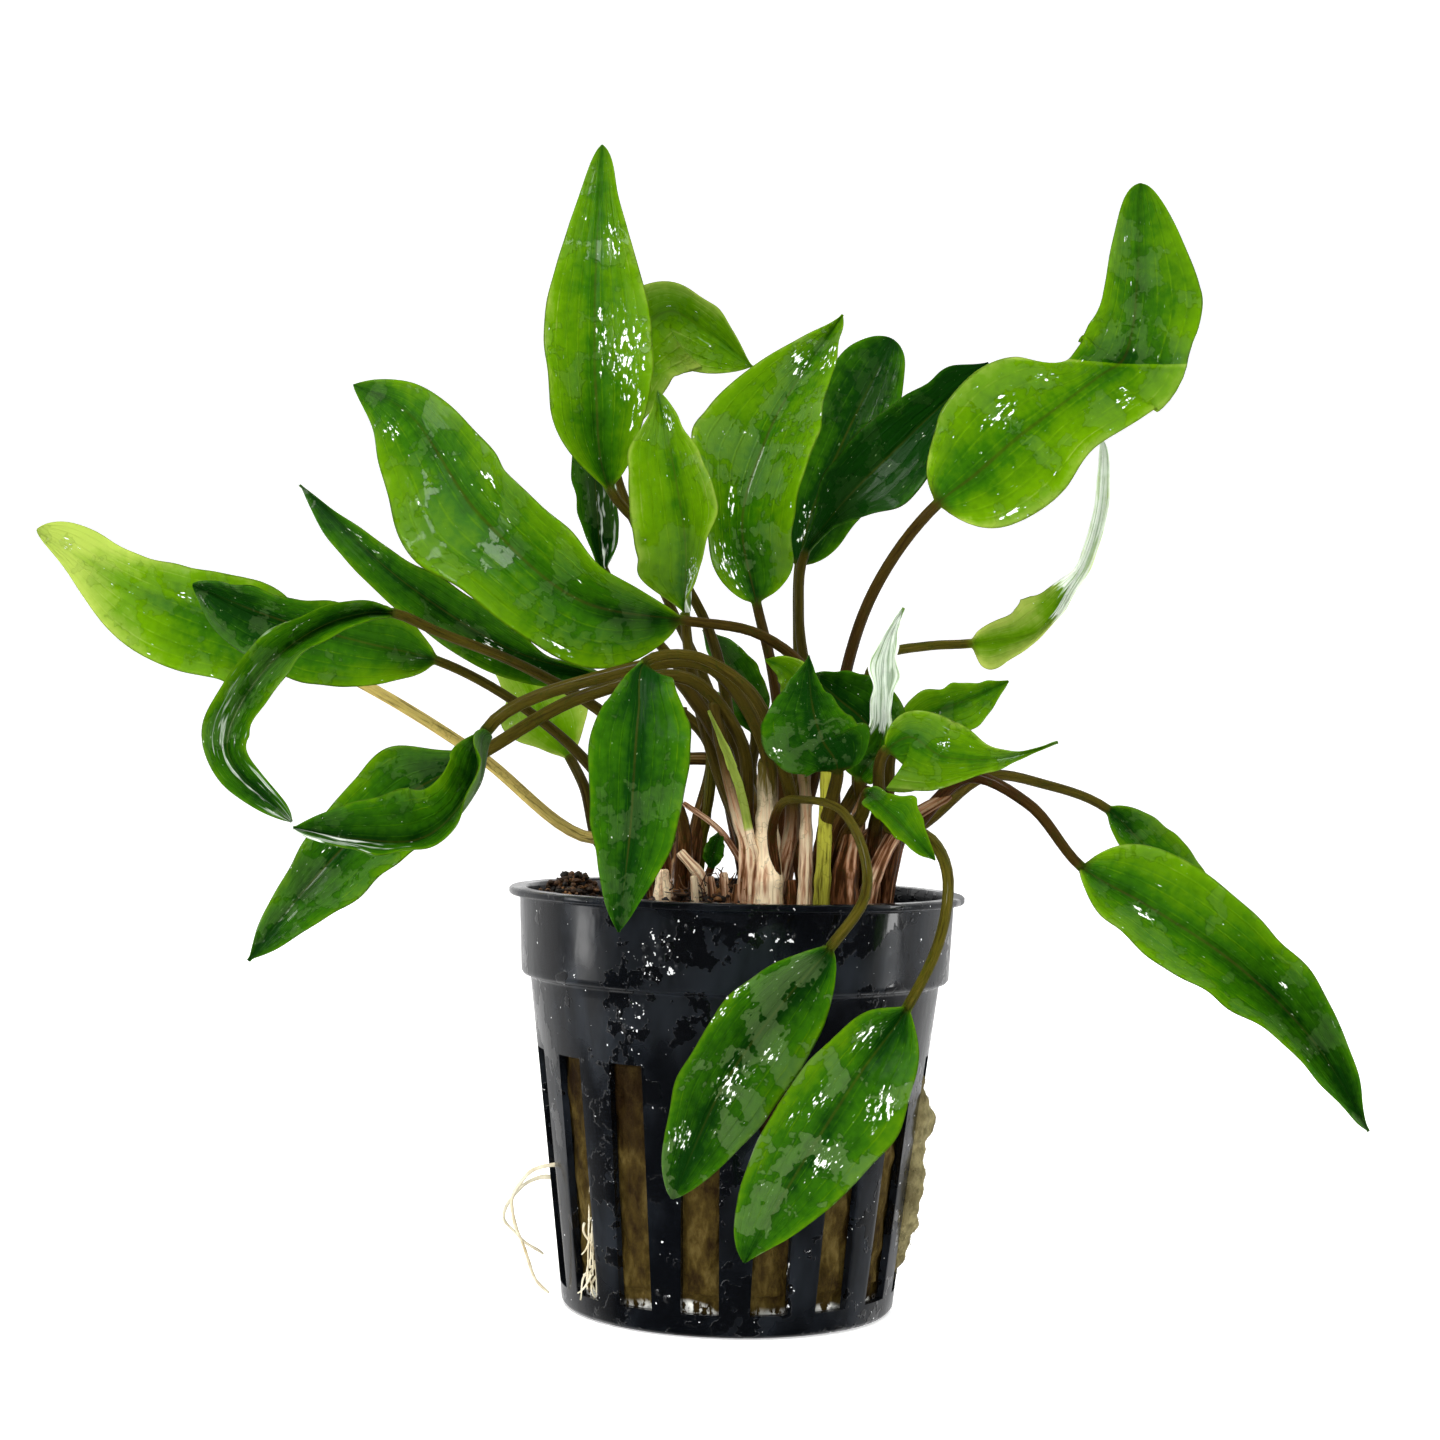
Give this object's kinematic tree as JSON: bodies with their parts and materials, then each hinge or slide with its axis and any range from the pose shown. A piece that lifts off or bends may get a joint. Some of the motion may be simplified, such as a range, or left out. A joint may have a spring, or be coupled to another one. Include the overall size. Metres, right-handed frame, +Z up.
{
  "type": "potted aquarium plant",
  "caption": "Aquarium plant with wavy lance-shaped leaves on thin stalks, growing from brown mineral wool in a black slotted net pot.",
  "frame": {"origin": "centre of the underside of the pot, on the surface it stands on", "axes": "+X to the right seen from the front, +Y away from the front, +Z up along the pot's axis"},
  "size_m": [0.1635, 0.0687, 0.142],
  "materials": {
    "black_plastic": "glossy black injection-moulded plastic, wet",
    "mineral_wool": "matted brown fibres, wet",
    "crown_flesh": "pale pink-white stem base, wet",
    "leaf_bright": "young yellow-green leaf, see-through, wet gloss",
    "leaf_mid": "mid-green leaf, wet gloss",
    "leaf_dark": "dark green leaf, wet gloss",
    "leaf_silver": "silver-grey leaf underside, wet gloss",
    "root_white": "white root, satin"
  },
  "bodies": {
    "root": {"pot": "black_plastic", "wool_plug": "mineral_wool", "crown_centre": "crown_flesh", "crown_left_front": "crown_flesh", "crown_left_back": "crown_flesh", "crown_right_front": "crown_flesh", "crown_right": "crown_flesh", "crown_right_back": "crown_flesh", "crown_back": "crown_flesh", "leaf_tall": "leaf_mid", "leaf_behind_tall": "leaf_dark", "leaf_back_arch": "leaf_mid", "leaf_broad_left": "leaf_mid", "leaf_narrow_left": "leaf_dark", "leaf_far_left": "leaf_bright", "leaf_dark_left": "leaf_dark", "leaf_curled_left": "leaf_silver", "leaf_twisted_left": "leaf_mid", "leaf_low_left": "leaf_mid", "leaf_front_left": "leaf_mid", "leaf_light_centre": "leaf_bright", "leaf_centre": "leaf_mid", "leaf_behind_centre": "leaf_bright", "leaf_dark_centre": "leaf_dark", "leaf_big_right": "leaf_bright", "leaf_thin_right": "leaf_silver", "leaf_hooked": "leaf_dark", "leaf_silver": "leaf_silver", "leaf_dark_cluster": "leaf_dark", "leaf_light_tip": "leaf_bright", "leaf_right_upper": "leaf_mid", "leaf_right_low": "leaf_mid", "leaf_small_pointed": "leaf_mid", "leaf_drooping_right": "leaf_mid", "leaf_behind_drooping": "leaf_dark", "leaf_hanging_left": "leaf_mid", "leaf_hanging_right": "leaf_mid", "leaf_low_back_left": "leaf_bright", "leaf_rolled_young": "leaf_bright", "leaf_short_back": "leaf_dark", "root_long": "root_white", "root_short": "root_white"}
  },
  "joints": []
}
